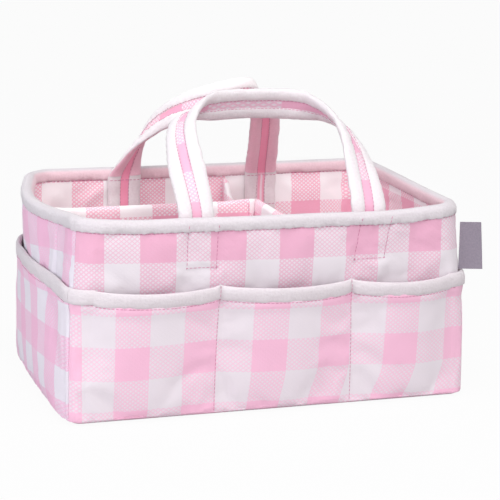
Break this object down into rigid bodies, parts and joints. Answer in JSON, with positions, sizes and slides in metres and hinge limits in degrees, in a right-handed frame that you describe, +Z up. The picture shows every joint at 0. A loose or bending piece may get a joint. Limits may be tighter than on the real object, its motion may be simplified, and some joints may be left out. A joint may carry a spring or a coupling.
{
  "type": "fabric storage caddy",
  "caption": "Soft-sided fabric storage caddy in a gingham check, with a bound rim, outside pockets, a lift-out divider insert and padded strap handles.",
  "frame": {"origin": "middle of the flat base, on the surface it stands on", "axes": "+X along the long side to the right, +Y from the front wall to the back wall, +Z up"},
  "size_m": [0.3354, 0.2434, 0.239],
  "materials": {
    "check_cotton": "checked cotton twill",
    "white_plush": "short white plush",
    "felt_board": "stiff felt",
    "grey_tape": "plain woven tape"
  },
  "bodies": {
    "caddy_body": {"base_panel": "check_cotton", "base_board": "felt_board", "base_lining": "check_cotton", "rim_binding": "white_plush", "front_panel": "check_cotton", "front_board": "felt_board", "front_lining": "check_cotton", "right_panel": "check_cotton", "right_board": "felt_board", "right_lining": "check_cotton", "back_panel": "check_cotton", "back_board": "felt_board", "back_lining": "check_cotton", "left_panel": "check_cotton", "left_board": "felt_board", "left_lining": "check_cotton", "front_pocket": "check_cotton", "front_pocket_binding": "white_plush", "right_pocket": "check_cotton", "right_pocket_binding": "white_plush", "back_pocket": "check_cotton", "back_pocket_binding": "white_plush", "left_pocket": "check_cotton", "left_pocket_binding": "white_plush", "front_handle_left_end": "white_plush", "front_handle_right_end": "white_plush", "back_handle_left_end": "white_plush", "back_handle_right_end": "white_plush", "side_label": "grey_tape"},
    "front_handle": {"front_handle_strap": "check_cotton", "front_handle_outer_binding": "white_plush", "front_handle_inner_binding": "white_plush"},
    "back_handle": {"back_handle_strap": "check_cotton", "back_handle_outer_binding": "white_plush", "back_handle_inner_binding": "white_plush"},
    "divider_insert": {"long_divider": "check_cotton", "cross_divider": "check_cotton"}
  },
  "joints": [
    {"name": "front_handle_fold", "type": "hinge", "parent": "caddy_body", "child": "front_handle", "pos_m": [0, -0.09641, 0.15521], "axis": [1, 0, 0], "range_deg": [0, 120]},
    {"name": "back_handle_fold", "type": "hinge", "parent": "caddy_body", "child": "back_handle", "pos_m": [0, 0.09494, 0.15803], "axis": [-1, 0, 0], "range_deg": [0, 120]},
    {"name": "divider_lift", "type": "slide", "parent": "caddy_body", "child": "divider_insert", "axis": [0, 0, 1], "range_m": [0, 0.055]}
  ]
}
